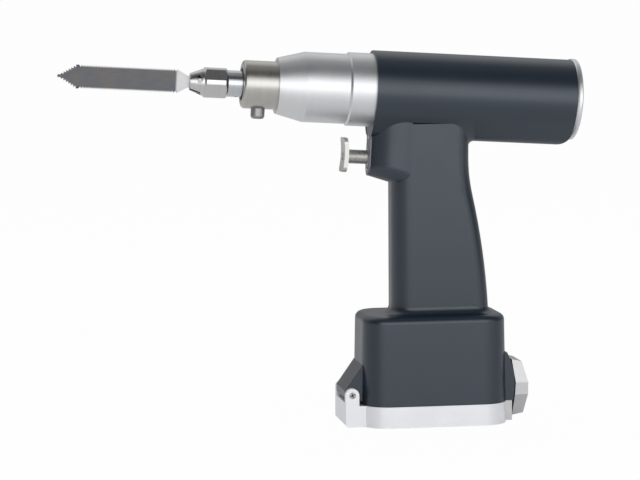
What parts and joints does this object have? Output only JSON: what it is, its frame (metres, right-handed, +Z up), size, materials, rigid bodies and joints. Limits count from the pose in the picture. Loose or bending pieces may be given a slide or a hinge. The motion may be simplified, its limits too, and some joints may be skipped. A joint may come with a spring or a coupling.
{
  "type": "surgical reciprocating saw",
  "caption": "Pistol-grip battery bone saw: tapered nose with a chuck and double-edged toothed blade, finger trigger, hinged battery lid and rear latch.",
  "frame": {"origin": "middle of the lid's flat underside, below the grip", "axes": "+Z up from the lid, -X towards the blade, Y across the tool; the part is near enough mirror-symmetric in Y"},
  "size_m": [0.2994, 0.054, 0.2148],
  "materials": {
    "housing_anodised": "satin blue-black anodised",
    "bright_metal": "fine brushed",
    "lid_metal": "bead blasted, pale",
    "collar_steel": "warm grey, turned",
    "chuck_steel": "ground",
    "blade_steel": "dark satin",
    "stainless": "polished",
    "plate_grey": "satin",
    "inner_steel": "ground",
    "bronze": "sintered",
    "copper": "enamelled wire",
    "lamination": "stacked sheet",
    "magnet": "plated",
    "seal_rubber": "smooth",
    "circuit_board": "lacquered",
    "black_plastic": "moulded",
    "battery_case": "moulded"
  },
  "bodies": {
    "root": {"housing": "housing_anodised", "front_ring": "bright_metal", "nose_housing": "bright_metal", "collar": "collar_steel", "spindle_bush": "bronze", "spindle_seal": "seal_rubber", "stator_core": "lamination", "motor_windings": "copper", "front_bearing": "inner_steel", "rear_bearing": "inner_steel", "rear_cap": "bright_metal", "rear_cap_seal": "seal_rubber", "trigger_plate": "plate_grey", "plate_screws": "stainless", "trigger_guide": "stainless", "sensor_board": "circuit_board", "control_board": "circuit_board", "board_parts": "black_plastic", "motor_leads": "seal_rubber", "contact_block": "black_plastic", "contact_pins": "bronze", "battery_pack": "battery_case", "battery_terminals": "bronze"},
    "rotor": {"rotor_shaft": "inner_steel", "rotor_magnet": "magnet", "cam_drum": "inner_steel"},
    "spindle": {"spindle": "collar_steel", "follower_pin": "inner_steel", "follower_roller": "inner_steel"},
    "chuck": {"chuck": "chuck_steel", "blade": "blade_steel", "blade_pin": "stainless"},
    "lock_button": {"lock_button": "collar_steel", "lock_spring": "inner_steel"},
    "trigger": {"trigger_pad": "stainless", "trigger_stem": "stainless", "trigger_clip": "inner_steel", "trigger_magnet": "magnet", "trigger_spring": "inner_steel"},
    "lid": {"lid": "lid_metal", "lid_gasket": "seal_rubber", "lid_catch": "lid_metal", "hinge_pin": "stainless", "battery_pad": "seal_rubber"},
    "latch": {"latch_lever": "lid_metal", "latch_pin": "stainless", "latch_spring": "inner_steel"}
  },
  "joints": [
    {"name": "rotor_spin", "type": "hinge", "parent": "root", "child": "rotor", "pos_m": [0, 0, 0.19], "axis": [0.9983, 0, -0.0584], "range_deg": [-90, 90]},
    {"name": "spindle_stroke", "type": "slide", "parent": "root", "child": "spindle", "axis": [-0.9983, 0, 0.0584], "range_m": [-0.0015, 0.0015]},
    {"name": "chuck_turn", "type": "hinge", "parent": "spindle", "child": "chuck", "pos_m": [-0.12479, 0, 0.1973], "axis": [0.9983, 0, -0.0584], "range_deg": [-90, 90]},
    {"name": "lock_press", "type": "slide", "parent": "root", "child": "lock_button", "axis": [0.0584, 0, 0.9983], "range_m": [0, 0.0025], "stiffness_N_per_m": 600, "springref_m": -0.002, "deforming": ["lock_spring"]},
    {"name": "trigger_pull", "type": "slide", "parent": "root", "child": "trigger", "axis": [0.9983, 0, -0.0584], "range_m": [0, 0.008], "stiffness_N_per_m": 500, "springref_m": -0.004, "deforming": ["trigger_spring"]},
    {"name": "lid_swing", "type": "hinge", "parent": "root", "child": "lid", "pos_m": [-0.0491, 0, 0.0184], "axis": [0, 1, 0], "range_deg": [0, 95]},
    {"name": "latch_press", "type": "hinge", "parent": "root", "child": "latch", "pos_m": [0.05, 0, 0.0215], "axis": [0, -1, 0], "range_deg": [0, 5], "stiffness_Nm_per_rad": 0.4, "springref_deg": -5.73, "deforming": ["latch_spring"]}
  ],
  "couplings": [
    {"joint": "spindle_stroke", "follows": "rotor_spin", "m_per_rad": 0.00095}
  ]
}
